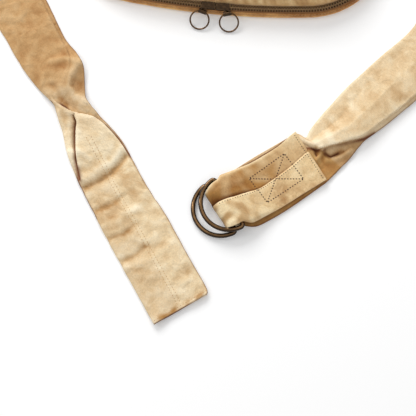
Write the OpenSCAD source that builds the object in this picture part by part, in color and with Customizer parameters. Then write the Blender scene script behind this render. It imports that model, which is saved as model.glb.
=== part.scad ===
// Zipped canvas sling bag lying on its back, with two wide straps:
// one ends in a plain tail, the other in a sewn loop that holds two D-rings.
// Frame: origin at the middle of the bag's back on the floor, +X along the
// bag, +Y away from the zip, +Z up out of the front panel.

/* [Bag] */
// Width of the bag along the zip
bag_w = 344; // [310:1:400]
// Height of the bag from the zip edge to the far edge
bag_h = 205; // [185:1:240]
// Radius of the long, slightly bowed zip edge
zip_arc_r = 800; // [600:10:1200]
// Radius of the bag's rounded ends
corner_r = 85; // [70:1:95]
// Depth of the bag from its back to the top of the front panel
bag_depth = 47; // [38:1:60]
// Thickness of the bag's canvas with its seams
cloth_t = 1.8; // [1.4:0.1:2.2]

/* [Rim] */
// Height of the widest line of the rim above the floor
belly_z = 3; // [2.6:0.1:3.4]
// How far the rim's foot lies in from the widest line
foot_in = 2.2; // [1.6:0.1:3]
// Width of the rim's foot, which the back panel is sewn to
foot_w = 6; // [4:0.5:8]

/* [Zip] */
// Distance of the chain's middle in from the widest line
chain_in = 6.7; // [6.4:0.1:8]
// Height of the chain's middle above the floor
chain_z = 9.2; // [9:0.1:11]
// Slope of the zip band, rising towards the front panel
band_tilt = 20; // [16:1:24]
// Width of the closed chain
chain_w = 5; // [4.4:0.1:5.4]
// Thickness of the chain
chain_t = 2.2; // [1.8:0.1:2.4]
// Distance from one tooth to the next on one side
tooth_pitch = 2.8; // [2.4:0.1:3.6]
// Gap between two teeth that mesh
tooth_gap = 0.25; // [0.2:0.05:0.4]
// Thickness of the zip's woven tape
tape_t = 0.8; // [0.6:0.1:0.9]
// Degrees that the zip runs on round each rounded end
zip_wrap = 50; // [30:1:70]

/* [Sliders] */
// Length of one slider
slider_l = 14; // [12:0.5:16]
// Thickness of a slider's plates
plate_t = 0.9; // [0.7:0.1:1.1]
// Thickness of a slider's turned-down flanges
flange_t = 1.1; // [0.8:0.1:1.3]
// Running clearance between slider, chain and cloth
run_gap = 0.3; // [0.25:0.05:0.4]
// Gap between the noses of the two sliders
nose_gap = 1.2; // [0.6:0.1:3]
// Radius of the crown's round post that carries the pull
post_r = 0.9; // [0.7:0.05:1]
// Distance of that post from the slider's middle
post_out = 3.2; // [2.8:0.1:3.6]

/* [Pulls] */
// Distance from the crown's post to the barrel's axis
link_l = 7; // [6.8:0.1:9]
// Thickness of the link
link_t = 1.5; // [1.2:0.1:1.8]
// Diameter of the barrel
barrel_d = 4.6; // [4.4:0.1:5]
// Length of the barrel
barrel_l = 8.5; // [7.5:0.1:9.5]
// Mean radius of the pull ring
pull_r = 9.6; // [9:0.1:11]
// Thickness of the pull ring's wire
pull_wire = 1.7; // [1.4:0.1:1.8]
// Degrees that each pull is turned outwards at rest
splay = 15; // [12:1:20]
// Degrees that each pull ring droops below its link at rest
droop = 9; // [4:0.5:10]

/* [Straps] */
// Width of the strap laid flat
strap_w = 62; // [50:1:66]
// Thickness of the folded strap
strap_t = 2.4; // [2:0.1:2.6]
// Length of the flap that is turned back through the rings
flap_l = 110; // [90:1:125]
// Clearance between the strap and what it passes through or over
strap_gap = 0.3; // [0.25:0.05:0.5]

/* [D-rings] */
// Mean radius of the D-rings' bow
ring_r = 28.15; // [26:0.05:34]
// Thickness of the D-rings' wire
ring_wire = 4.7; // [4:0.1:5]
// Mean radius of the corner between bow and bar
ring_corner = 3; // [2.6:0.1:4]
// How far the upper ring lies back over the lower one
ring_step = 9.1; // [8:0.1:11]
// Slack of the loop in front of the lower ring's bar
loop_slack = 2; // [1:0.1:3]

/* [Hidden] */

canvas = [0.82, 0.70, 0.50];
canvas_dark = [0.62, 0.47, 0.28];
tape_brown = [0.30, 0.19, 0.12];
bronze = [0.31, 0.24, 0.16];

$fn = 48;
arc_fn = 240;   // facets of a whole turn of the long arcs
seam = 0.15;    // gap between two pieces that are sewn edge to edge

// The outline is four tangent arcs, given by centre, radius, first and last
// angle. An angle is counted from -Y, turning towards +X.
end_x = bag_w / 2 - corner_r;
zip_half = asin(end_x / (zip_arc_r - corner_r));
zip_cy = zip_arc_r - bag_h / 2;
end_y = zip_cy - (zip_arc_r - corner_r) * cos(zip_half);
far_rise = bag_h / 2 - end_y;
far_r = (end_x * end_x + far_rise * far_rise - corner_r * corner_r) / (2 * (far_rise - corner_r));
far_cy = bag_h / 2 - far_r;
far_half = atan2(end_x, end_y - far_cy);
zip_arc = [[0, zip_cy], zip_arc_r, -zip_half, zip_half];
right_arc = [[end_x, end_y], corner_r, zip_half, 180 - far_half];
far_arc = [[0, far_cy], far_r, 180 - far_half, 180 + far_half];
left_arc = [[-end_x, end_y], corner_r, 180 + far_half, 360 - zip_half];
right_zip = [[end_x, end_y], corner_r, zip_half, zip_half + zip_wrap];
left_zip = [[-end_x, end_y], corner_r, 360 - zip_half - zip_wrap, 360 - zip_half];
right_plain = [[end_x, end_y], corner_r, zip_half + zip_wrap, 180 - far_half];
left_plain = [[-end_x, end_y], corner_r, 180 + far_half, 360 - zip_half - zip_wrap];

// A point of the zip band: along the band from the chain's middle (towards
// the front panel) and out of it, as [distance out from the outline, height].
function band(s, n) = [
    -chain_in - s * cos(band_tilt) + n * sin(band_tilt),
    chain_z + s * sin(band_tilt) + n * cos(band_tilt)];

// Half of the zip's opening between the two cloth edges
slider_half = chain_w / 2 + run_gap + flange_t;
opening_half = slider_half + run_gap;

// Sweeps a profile of [distance out, height] points along one arc.
module along(arc, profile)
    translate([arc[0][0], arc[0][1], 0])
        rotate([0, 0, arc[2] - 90])
            rotate_extrude(angle = arc[3] - arc[2], $fn = arc_fn)
                translate([arc[1], 0])
                    polygon(profile);

// Points of the whole outline, moved out by off.
function arc_points(arc, off, steps) = [for (i = [0 : steps - 1])
    let (a = arc[2] + (arc[3] - arc[2]) * i / steps)
    arc[0] + (arc[1] + off) * [sin(a), -cos(a)]];
function outline(off) = concat(arc_points(zip_arc, off, 20), arc_points(right_arc, off, 20),
    arc_points(far_arc, off, 16), arc_points(left_arc, off, 20));

// ---- Bag shell ----

module back_panel() {
    color(canvas)
        linear_extrude(height = cloth_t)
            polygon(outline(-foot_in - foot_w - seam));
}

// Rim: a foot on the floor, a soft belly, and a top edge beside the zip.
rim_profile = [
    [-foot_in - foot_w, 0],
    [-foot_in, 0],
    [-foot_in * 0.25, belly_z * 0.4],
    [0, belly_z],
    [-foot_in * 0.35, (belly_z + chain_z) / 2],
    band(-opening_half, cloth_t / 2),
    band(-opening_half, -cloth_t / 2),
    [-foot_in * 0.35 - cloth_t, (belly_z + chain_z) / 2 - cloth_t * 0.4],
    [-cloth_t, belly_z],
    [-foot_in * 0.25 - cloth_t, cloth_t + seam],
    [-foot_in - foot_w, cloth_t]];

// Height of the strap's middle where it enters the rim, over the binding
binding_t = 0.9;
root_z = cloth_t + binding_t + 2 * seam + strap_t / 2;
root_in = 12;

// Slot in the rim for one strap's root
module strap_slot()
    translate([bag_w / 2 - root_in + 2, end_y - strap_w / 2 - strap_gap, root_z - strap_t / 2 - strap_gap])
        cube([root_in, strap_w + 2 * strap_gap, strap_t + 2 * strap_gap]);

module rim_end() {
    difference() {
        along(right_arc, rim_profile);
        strap_slot();
    }
}

module rim_gusset() {
    color(canvas_dark) {
        along(zip_arc, rim_profile);
        along(far_arc, rim_profile);
        rim_end();
        mirror([1, 0, 0])
            rim_end();
    }
}

// Far gusset: the band closed with canvas where there is no zip.
far_profile = [
    band(-opening_half + seam, -cloth_t / 2),
    band(opening_half - seam, -cloth_t / 2),
    band(opening_half - seam, cloth_t / 2),
    band(-opening_half + seam, cloth_t / 2)];

module far_gusset() {
    color(canvas_dark) {
        along(right_plain, far_profile);
        along(far_arc, far_profile);
        along(left_plain, far_profile);
    }
}

// Front panel: a soft domed shell, as rings of the outline drawn in towards
// the middle. Each ring is [share of the way out, share of the rise].
DOME = [[1, 0], [0.97, 0.30], [0.92, 0.50], [0.84, 0.68], [0.72, 0.83], [0.55, 0.94], [0.34, 0.99]];
panel_edge_top = band(opening_half, cloth_t / 2);
panel_edge_low = band(opening_half, -cloth_t / 2);

function dome_ring(edge, top, share) = [for (p = outline(edge[0]))
    [p[0] * share[0], p[1] * share[0], edge[1] + (top - edge[1]) * share[1]]];
dome_outer = [for (share = DOME) each dome_ring(panel_edge_top, bag_depth, share)];
dome_inner = [for (share = DOME) each dome_ring(panel_edge_low, bag_depth - cloth_t, share)];
dome_n = len(outline(0));
dome_rings = len(DOME);
dome_tip = dome_n * dome_rings;

function dome_faces(first, tip, flip) = [
    for (r = [0 : dome_rings - 2], i = [0 : dome_n - 1])
        let (a = first + r * dome_n + i)
        let (b = first + r * dome_n + (i + 1) % dome_n)
        each flip ? [[a, b, b + dome_n], [a, b + dome_n, a + dome_n]]
            : [[b, a, b + dome_n], [a, a + dome_n, b + dome_n]],
    for (i = [0 : dome_n - 1])
        let (a = first + (dome_rings - 1) * dome_n + i)
        let (b = first + (dome_rings - 1) * dome_n + (i + 1) % dome_n)
        flip ? [a, b, tip] : [b, a, tip]];

module front_panel() {
    inner_first = dome_tip + 1;
    inner_tip = inner_first + dome_tip;
    edge_faces = [for (i = [0 : dome_n - 1])
        let (j = (i + 1) % dome_n)
        each [[i, j, inner_first + j], [i, inner_first + j, inner_first + i]]];
    color(canvas)
        polyhedron(
            points = concat(dome_outer, [[0, 0, bag_depth]], dome_inner, [[0, 0, bag_depth - cloth_t]]),
            faces = concat(dome_faces(0, dome_tip, false), dome_faces(inner_first, inner_tip, true),
                edge_faces));
}

// Bindings: narrow tapes over the raw seam edges inside the bag.
binding_w = 5;
back_binding_in = foot_in + foot_w - binding_w / 2;

module inside_band(profile) {
    along(zip_arc, profile);
    along(right_arc, profile);
    along(far_arc, profile);
    along(left_arc, profile);
}

module back_binding() {
    low = cloth_t + seam;
    color(tape_brown)
        inside_band([
            [-back_binding_in - binding_w, low],
            [-back_binding_in, low],
            [-back_binding_in, low + binding_t],
            [-back_binding_in - binding_w, low + binding_t]]);
}

module front_binding() {
    color(tape_brown)
        inside_band([
            band(opening_half, -cloth_t / 2 - seam - binding_t),
            band(opening_half + binding_w, -cloth_t / 2 - seam - binding_t),
            band(opening_half + binding_w, -cloth_t / 2 - seam),
            band(opening_half, -cloth_t / 2 - seam)]);
}

// ---- Zip ----

// One tape, on the rim's side (-1) or the front panel's side (1)
module zip_tape(side) {
    near = side * (chain_w / 2 + seam);
    far = side * (opening_half - seam);
    profile = [band(near, -tape_t / 2), band(far, -tape_t / 2), band(far, tape_t / 2), band(near, tape_t / 2)];
    color(tape_brown) {
        along(zip_arc, profile);
        along(right_zip, profile);
        along(left_zip, profile);
    }
}

// Puts children on the band: x along the zip, y up the band, z out of it.
module on_arc(arc, angle)
    translate([arc[0][0], arc[0][1], 0])
        rotate([0, 0, angle])
            translate([0, -(arc[1] - chain_in), chain_z])
                rotate([band_tilt, 0, 0])
                    children();

// A tooth: a shank beside the tape and a head that hooks past the middle.
tooth_w = tooth_pitch / 2 - tooth_gap;
module tooth(side)
    translate([0, 0, -chain_t / 2])
        linear_extrude(height = chain_t)
            polygon([
                [-tooth_w / 2, side * chain_w / 2],
                [tooth_w / 2, side * chain_w / 2],
                [tooth_w / 2 * 0.8, side * chain_w * 0.15],
                [tooth_w / 2, -side * chain_w * 0.05],
                [tooth_w / 2 * 0.7, -side * chain_w * 0.14],
                [-tooth_w / 2 * 0.7, -side * chain_w * 0.14],
                [-tooth_w / 2, -side * chain_w * 0.05],
                [-tooth_w / 2 * 0.8, side * chain_w * 0.15]]);

// Teeth on one arc, evenly spaced; the rim's side is half a pitch along.
module tooth_row(arc, side) {
    length = (arc[1] - chain_in) * (arc[3] - arc[2]) * PI / 180;
    count = floor(length / tooth_pitch);
    step = (arc[3] - arc[2]) / count;
    for (i = [0 : count - 1])
        on_arc(arc, arc[2] + step * (i + (side < 0 ? 0.25 : 0.75)))
            tooth(side);
}

module zip_teeth(side) {
    color(bronze) {
        tooth_row(zip_arc, side);
        tooth_row(right_zip, side);
        tooth_row(left_zip, side);
    }
}

// Stops at the two ends of the zip
stop_l = 3;
module zip_stops() {
    angle = zip_half + zip_wrap + (stop_l / 2 + run_gap) / (corner_r - chain_in) * 180 / PI;
    color(bronze)
        for (flip = [0, 1])
            mirror([flip, 0, 0])
                on_arc(right_arc, angle)
                    translate([-stop_l / 2, -chain_w / 2, cloth_t / 2 + seam])
                        cube([stop_l, chain_w, chain_t / 2]);
}

// ---- Sliders ----

// Places the right slider's own frame with its nose at the zip's middle.
slider_turn = (nose_gap + slider_l) / 2 / (zip_arc_r - chain_in) * 180 / PI;
module at_slider()
    on_arc(zip_arc, slider_turn)
        children();

plate_low = chain_t / 2 + run_gap;
plate_top = plate_low + plate_t;
flange_low = tape_t / 2 + run_gap;
link_n = plate_top + run_gap * 2 + link_t / 2 + 0.1;
crown_low = link_n + link_t / 2 + run_gap;
crown_t = 1.2;
crown_w = 2.4;

// Plan of a slider: rounded tail, blunt nose
module slider_plan() {
    intersection() {
        translate([-slider_l / 2, -slider_half])
            square([slider_l, 2 * slider_half]);
        translate([-slider_l / 2 + 1, 0])
            circle(r = slider_l - 1);
    }
}

// One half of the slider's body, a plate with two flanges beside the chain
module slider_shell()
    intersection() {
        translate([-slider_l / 2, 0, 0])
            rotate([90, 0, 90])
                linear_extrude(height = slider_l)
                    polygon([
                        [-slider_half, flange_low],
                        [-slider_half, plate_top - plate_t / 2],
                        [-slider_half + plate_t / 2, plate_top],
                        [slider_half - plate_t / 2, plate_top],
                        [slider_half, plate_top - plate_t / 2],
                        [slider_half, flange_low],
                        [chain_w / 2 + run_gap, flange_low],
                        [chain_w / 2 + run_gap, plate_low],
                        [-chain_w / 2 - run_gap, plate_low],
                        [-chain_w / 2 - run_gap, flange_low]]);
        linear_extrude(height = plate_top + 1)
            slider_plan();
    }

// Crown: a bridge along the slider on a round post and a square one
module crown() {
    back = -post_out - crown_w / 2;
    translate([post_out, 0, plate_top - plate_t / 2])
        cylinder(r = post_r, h = crown_low - plate_top + plate_t);
    translate([back, -crown_w / 2, plate_top - plate_t / 2])
        cube([crown_w / 2, crown_w, crown_low - plate_top + plate_t]);
    translate([back, -crown_w / 2, crown_low])
        cube([post_out - back, crown_w, crown_t]);
    translate([post_out, 0, crown_low])
        cylinder(r = crown_w / 2, h = crown_t);
}

module slider_body() {
    color(bronze) {
        union() {
            slider_shell();
            crown();
        }
        mirror([0, 0, 1])
            slider_shell();
    }
}

module slider_right() {
    at_slider()
        slider_body();
}

module slider_left() {
    mirror([1, 0, 0])
        slider_right();
}

// ---- Pulls ----

// Distance of the ring's middle from the barrel's axis: the curved wire
// keeps to the middle of the straight bore.
wire_sag = pull_r - sqrt(pull_r * pull_r - barrel_l * barrel_l / 4);
ring_out = pull_r - wire_sag / 2;
bore_r = pull_wire / 2 + wire_sag / 2 + 0.15;
eye_r = 2.2;

// Places a link's own frame: origin on the post, -y towards the ring
module at_link()
    at_slider()
        translate([post_out, 0, link_n])
            rotate([0, 0, splay])
                children();

module link_plan() {
    arm_w = barrel_l / 2 - 0.5;
    reach = link_l - barrel_d / 2 + 0.6;
    difference() {
        union() {
            circle(r = eye_r);
            polygon([[-eye_r * 0.9, -0.9], [eye_r * 0.9, -0.9], [arm_w, -reach], [-arm_w, -reach]]);
        }
        circle(r = post_r + 0.15);
        polygon([
            [-0.8, -eye_r - 0.1],
            [0.8, -eye_r - 0.1],
            [arm_w - 1.6, -reach],
            [-arm_w + 1.6, -reach]]);
    }
}

module pull_link_right() {
    color(bronze)
        at_link()
            difference() {
                union() {
                    translate([0, 0, -link_t / 2])
                        linear_extrude(height = link_t)
                            link_plan();
                    translate([-barrel_l / 2, -link_l, 0])
                        rotate([0, 90, 0])
                            cylinder(d = barrel_d, h = barrel_l);
                }
                translate([-barrel_l / 2 - 1, -link_l, 0])
                    rotate([0, 90, 0])
                        cylinder(r = bore_r, h = barrel_l + 2);
            }
}

module pull_link_left() {
    mirror([1, 0, 0])
        pull_link_right();
}

module pull_ring_right() {
    color(bronze)
        at_link()
            translate([0, -link_l, 0])
                rotate([droop, 0, 0])
                    translate([0, -ring_out, 0])
                        rotate_extrude($fn = 72)
                            translate([pull_r, 0])
                                circle(d = pull_wire, $fn = 24);
}

module pull_ring_left() {
    mirror([1, 0, 0])
        pull_ring_right();
}

// ---- Straps ----

// A strap is swept through stations [x, y, z of its middle, width, thickness],
// chosen by hand and joined by a smooth curve.
SUB = 5;
function blend4(a, b, c, d, t) = 0.5 * (2 * b + (c - a) * t + (2 * a - 5 * b + 4 * c - d) * t * t
    + (3 * b - a - 3 * c + d) * t * t * t);
function on_floor(s) = [s[0], s[1], max(s[2], s[4] / 2), s[3], s[4]];
function smooth(st) = [
    for (i = [0 : len(st) - 2], k = [0 : SUB - 1])
        on_floor(blend4(st[max(i - 1, 0)], st[i], st[i + 1], st[min(i + 2, len(st) - 1)], k / SUB)),
    st[len(st) - 1]];
function unit(v) = v / norm(v);
function centre(s) = [s[0], s[1], s[2]];

// Section of a strap: a flat bar with bevelled edges
function strap_section(mid, side, up, w, t) = [
    for (c = [[-1, -0.2], [-0.96, -0.5], [0.96, -0.5], [1, -0.2], [1, 0.2], [0.96, 0.5], [-0.96, 0.5], [-1, 0.2]])
        mid + side * c[0] * w / 2 + up * c[1] * t];

// straight: the station from which the strap's cross direction is cross
module strap_sweep(stations, straight, cross) {
    s = smooth(stations);
    last = len(s) - 1;
    points = [for (i = [0 : last])
        let (run = unit(centre(s[min(i + 1, last)]) - centre(s[max(i - 1, 0)])))
        let (side = i >= straight * SUB ? cross : unit([-run[1], run[0], 0]))
        each strap_section(centre(s[i]), side, unit(cross_product(run, side)), s[i][3], s[i][4])];
    walls = [for (i = [0 : last - 1], k = [0 : 7])
        let (a = i * 8 + k)
        let (b = i * 8 + (k + 1) % 8)
        each [[b, a, b + 8], [a, a + 8, b + 8]]];
    polyhedron(
        points = points,
        faces = concat(walls, [[for (k = [0 : 7]) k], [for (k = [7 : -1 : 0]) last * 8 + k]]));
}
function cross_product(a, b) = [
    a[1] * b[2] - a[2] * b[1],
    a[2] * b[0] - a[0] * b[2],
    a[0] * b[1] - a[1] * b[0]];

// Tail strap: round the bag's left end, through a twist, to a flat tail.
tail_x = -3;
tail_y = -411;
tail_heading = -56;
function on_tail(back, z, w, t) = [
    tail_x - back * cos(tail_heading), tail_y - back * sin(tail_heading), z, w * strap_w, t * strap_t];
function laid(x, y, w, t) = [x, y, t * strap_t / 2, w * strap_w, t * strap_t];
function rooted(side, out) = [side * (bag_w / 2 + out), end_y, root_z, strap_w, strap_t];

tail_stations = [
    rooted(-1, -root_in),
    rooted(-1, 3),
    rooted(-1, 9),
    laid(-206, -23, 0.8, 1.5),
    laid(-219, -50, 0.7, 2),
    laid(-217, -82, 0.75, 1.8),
    laid(-200, -114, 0.9, 1.3),
    laid(-170, -160, 0.85, 1.6),
    laid(-136, -216, 0.56, 2.8),
    laid(-112, -252, 0.7, 1.8),
    on_tail(140, strap_t / 2, 0.95, 1),
    on_tail(90, strap_t / 2, 1, 1),
    on_tail(0, strap_t / 2, 1, 1)];

module strap_tail() {
    color(canvas)
        strap_sweep(tail_stations, len(tail_stations), [0, 0, 1]);
}

// The rings' frame: origin below the lower ring's bar, x towards the bow.
rings_x = 25.5;
rings_y = -306;
rings_heading = 217;
low_bar_z = strap_t + strap_gap + ring_wire / 2;
up_bar_z = low_bar_z + ring_wire + 0.45;
loop_top = up_bar_z + ring_wire / 2 + strap_gap + strap_t / 2;
loop_front = ring_wire / 2 + loop_slack + strap_t / 2;
flap_z = strap_t * 1.5 + strap_gap;
loop_w = 2 * (ring_r - ring_wire / 2 - 1.8);
// Free width inside the upper ring at the loop's front
front_reach = ring_step + loop_front + strap_t / 2;
front_w = 2 * (sqrt(pow(ring_r - ring_wire / 2, 2) - front_reach * front_reach) - 1.2);
function in_rings(along_x, z, w) = [
    rings_x + along_x * cos(rings_heading), rings_y + along_x * sin(rings_heading), z, w, strap_t];

ring_stations = [
    rooted(1, -root_in),
    rooted(1, 3),
    rooted(1, 9),
    laid(209, -20, 0.8, 1.5),
    laid(232, -42, 0.75, 1.8),
    laid(239, -72, 0.8, 1.5),
    laid(226, -114, 0.9, 1.2),
    laid(196, -152, 0.9, 1.2),
    laid(163, -185, 0.9, 1.2),
    laid(134, -215, 0.8, 1.5),
    in_rings(-105, strap_t / 2, strap_w * 0.9),
    in_rings(-60, strap_t / 2, strap_w * 0.88),
    in_rings(-25, strap_t / 2, loop_w * 1.04),
    in_rings(-ring_step, strap_t / 2, loop_w),
    in_rings(-1, strap_t / 2, (loop_w + front_w) / 2),
    in_rings(loop_front - 1.5, strap_t * 1.1, front_w),
    in_rings(loop_front, (low_bar_z + up_bar_z) / 2, front_w),
    in_rings(loop_front - 2, up_bar_z + 1, front_w),
    in_rings(0, loop_top - 0.8, (loop_w + front_w) / 2),
    in_rings(-ring_step, loop_top, loop_w),
    in_rings(-ring_step - 9, loop_top - 2.4, loop_w * 1.02),
    in_rings(-ring_step - 22, flap_z + 3, loop_w * 1.06),
    in_rings(-ring_step - 33, flap_z + 0.2, strap_w * 0.88),
    in_rings(loop_front - flap_l + 50, flap_z, strap_w * 0.92),
    in_rings(loop_front - flap_l, flap_z, strap_w * 0.94)];
// First station of the straight part
ring_straight = 10;

module strap_ring_side() {
    color(canvas)
        strap_sweep(ring_stations, ring_straight, [-sin(rings_heading), cos(rings_heading), 0]);
}

// ---- D-rings ----

corner_turn = asin(ring_corner / (ring_r - ring_corner));
corner_y = (ring_r - ring_corner) * cos(corner_turn);

weld = 0.02;     // how much thicker the wire is round the tight corners
weld_turn = 2;   // how far each corner overlaps bow and bar, in degrees

module wire_arc(radius, from, to, wire)
    rotate([0, 0, from])
        rotate_extrude(angle = to - from, $fn = 96)
            translate([radius, 0])
                circle(d = wire, $fn = 32);

// A D-ring: bow and bar joined by tight tangent corners, bar along y
module d_ring() {
    union() {
        wire_arc(ring_r, corner_turn - 90, 90 - corner_turn, ring_wire);
        for (flip = [0, 1])
            mirror([0, flip, 0])
                translate([ring_corner, corner_y, 0])
                    wire_arc(ring_corner, 90 - corner_turn - weld_turn, 180 + weld_turn, ring_wire + weld);
        translate([0, corner_y, 0])
            rotate([90, 0, 0])
                cylinder(d = ring_wire, h = 2 * corner_y, $fn = 32);
    }
}

// Slopes at rest: the lower bow lies on the floor, the upper ring on the lower
low_slope = asin((low_bar_z - ring_wire / 2 - 0.1) / ring_r);
up_slope = 1.5;

module at_rings(back, z, slope)
    translate([rings_x, rings_y, 0])
        rotate([0, 0, rings_heading])
            translate([-back, 0, z])
                rotate([0, slope, 0])
                    children();

module d_ring_lower() {
    color(bronze)
        at_rings(0, low_bar_z, low_slope)
            d_ring();
}

module d_ring_upper() {
    color(bronze)
        at_rings(ring_step, up_bar_z, up_slope)
            d_ring();
}

module zip_tape_rim() zip_tape(-1);
module zip_tape_front() zip_tape(1);
module zip_teeth_rim() zip_teeth(-1);
module zip_teeth_front() zip_teeth(1);

back_panel();
rim_gusset();
far_gusset();
front_panel();
back_binding();
front_binding();
zip_tape_rim();
zip_tape_front();
zip_teeth_rim();
zip_teeth_front();
zip_stops();
slider_left();
slider_right();
pull_link_left();
pull_link_right();
pull_ring_left();
pull_ring_right();
strap_tail();
strap_ring_side();
d_ring_lower();
d_ring_upper();
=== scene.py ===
import math

import bmesh
import bpy
import numpy as np
from mathutils import Matrix, Vector, noise
from mathutils.bvhtree import BVHTree


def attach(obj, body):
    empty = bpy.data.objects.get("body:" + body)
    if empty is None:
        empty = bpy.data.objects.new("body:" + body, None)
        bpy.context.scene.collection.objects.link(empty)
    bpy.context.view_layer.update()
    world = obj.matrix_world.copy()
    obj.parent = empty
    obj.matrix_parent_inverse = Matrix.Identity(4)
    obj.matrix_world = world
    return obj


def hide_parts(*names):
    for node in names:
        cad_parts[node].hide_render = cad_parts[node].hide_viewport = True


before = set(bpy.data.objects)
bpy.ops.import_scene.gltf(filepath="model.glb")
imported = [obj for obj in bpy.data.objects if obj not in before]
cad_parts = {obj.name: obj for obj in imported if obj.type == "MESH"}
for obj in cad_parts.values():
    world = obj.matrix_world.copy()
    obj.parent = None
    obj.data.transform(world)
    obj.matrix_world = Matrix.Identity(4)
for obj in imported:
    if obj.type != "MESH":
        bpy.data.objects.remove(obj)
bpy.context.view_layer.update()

# ---- Table, lights and camera ----
# A plain white table top under one broad soft lamp at the upper left and a
# pale, even sky. The camera looks almost straight down through a long lens.
scene = bpy.context.scene
scene.view_settings.view_transform = "Standard"

eye = bpy.data.objects.new("camera", bpy.data.cameras.new("camera"))
scene.collection.objects.link(eye)
eye.location = (0.0565, -0.7636, 1.8436)
eye.rotation_euler = (Vector((0.0124, -0.3060, 0)) - eye.location).to_track_quat("-Z", "Y").to_euler()
eye.data.sensor_width = 36
eye.data.lens = 164.4
eye.data.clip_end = 20
scene.camera = eye


def area_lamp(name, place, aim, wide, high, energy):
    """A rectangular lamp turned toward a point on the table."""
    lamp = bpy.data.objects.new(name, bpy.data.lights.new(name, "AREA"))
    scene.collection.objects.link(lamp)
    lamp.location = place
    lamp.rotation_euler = (Vector(aim) - lamp.location).to_track_quat("-Z", "Y").to_euler()
    lamp.data.shape = "RECTANGLE"
    lamp.data.size = wide
    lamp.data.size_y = high
    lamp.data.energy = energy


area_lamp("softbox", (-0.80, 1.45, 1.15), (0, -0.15, 0), 1.5, 0.9, 37)
# a narrow strip lamp draws the bright lines along the metal
area_lamp("strip_lamp", (-1.5, 0.05, 1.35), (0, -0.25, 0), 0.16, 1.1, 4.5)


def paint_nodes(name):
    """A new material, its node tree, its shader and a short way to add nodes."""
    paint = bpy.data.materials.new(name)
    paint.use_nodes = True
    tree = paint.node_tree
    shader = tree.nodes["Principled BSDF"]

    def add(kind, inputs=(), **settings):
        node = tree.nodes.new("ShaderNode" + kind)
        for key, value in settings.items():
            setattr(node, key, value)
        for key, value in dict(inputs).items():
            if isinstance(value, bpy.types.NodeSocket):
                tree.links.new(value, node.inputs[key])
            else:
                node.inputs[key].default_value = value
        return node

    return paint, tree, shader, add


def colour(red, green, blue):
    """A colour given as it looks on paper, 0 to 255."""
    return tuple(((c / 255 + 0.055) / 1.055) ** 2.4 if c > 10 else c / 255 / 12.92
                 for c in (red, green, blue)) + (1,)


sky = bpy.data.worlds.new("sky")
scene.world = sky
sky.use_nodes = True
sky_tree = sky.node_tree
rays = sky_tree.nodes.new("ShaderNodeLightPath")
seen = sky_tree.nodes.new("ShaderNodeMath")
seen.operation = "MAXIMUM"
sky_tree.links.new(rays.outputs["Is Camera Ray"], seen.inputs[0])
sky_tree.links.new(rays.outputs["Is Transmission Ray"], seen.inputs[1])
strength = sky_tree.nodes.new("ShaderNodeMapRange")
strength.inputs["To Min"].default_value = 0.6
strength.inputs["To Max"].default_value = 1.0
sky_tree.links.new(seen.outputs[0], strength.inputs["Value"])
sky_tree.nodes["Background"].inputs["Color"].default_value = (1, 1, 1, 1)
sky_tree.links.new(strength.outputs["Result"], sky_tree.nodes["Background"].inputs["Strength"])

table_mesh = bmesh.new()
bmesh.ops.create_grid(table_mesh, x_segments=1, y_segments=1, size=6)
table_top = bpy.data.objects.new("table_top", bpy.data.meshes.new("table_top"))
table_mesh.to_mesh(table_top.data)
scene.collection.objects.link(table_top)
white, white_tree, white_shader, add = paint_nodes("table_white")
white_shader.inputs["Base Color"].default_value = (0.92, 0.92, 0.92, 1)
white_shader.inputs["Roughness"].default_value = 1.0
white_shader.inputs["Specular IOR Level"].default_value = 0.0
white_shader.inputs["Emission Color"].default_value = (1, 1, 1, 1)
path = add("LightPath")
looked_at = path.outputs["Is Camera Ray"]
for other in ("Is Glossy Ray", "Is Transmission Ray"):
    looked_at = add("Math", {0: looked_at, 1: path.outputs[other]}, operation="MAXIMUM").outputs[0]
floor_glow = 0.125
glow = add("Math", {0: looked_at, 1: floor_glow}, operation="MULTIPLY")
white_tree.links.new(glow.outputs[0], white_shader.inputs["Emission Strength"])
table_top.data.materials.append(white)

# ---- Back panel ----
# The bag's flat back, one piece of waxed cotton canvas that has been washed.
# It is sewn all round to the foot of the rim, inside out, before the bag is turned.

# the outline in millimetres: four arcs, each tangent to the next, as (centre, radius, from, to)
bag_w, bag_h, zip_arc_r, corner_r, bag_depth = 344, 205, 800, 85, 47
end_x = bag_w / 2 - corner_r
zip_half = math.asin(end_x / (zip_arc_r - corner_r))
zip_cy = zip_arc_r - bag_h / 2
end_y = zip_cy - (zip_arc_r - corner_r) * math.cos(zip_half)
far_rise = bag_h / 2 - end_y
far_r = (end_x**2 + far_rise**2 - corner_r**2) / (2 * (far_rise - corner_r))
far_cy = bag_h / 2 - far_r
far_half = math.atan2(end_x, end_y - far_cy)
turn = math.pi
zip_edge = ((0, zip_cy), zip_arc_r, -zip_half, zip_half)
right_end = ((end_x, end_y), corner_r, zip_half, turn - far_half)
far_edge = ((0, far_cy), far_r, turn - far_half, turn + far_half)
left_end = ((-end_x, end_y), corner_r, turn + far_half, 2 * turn - zip_half)
all_round = (zip_edge, right_end, far_edge, left_end)


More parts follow.
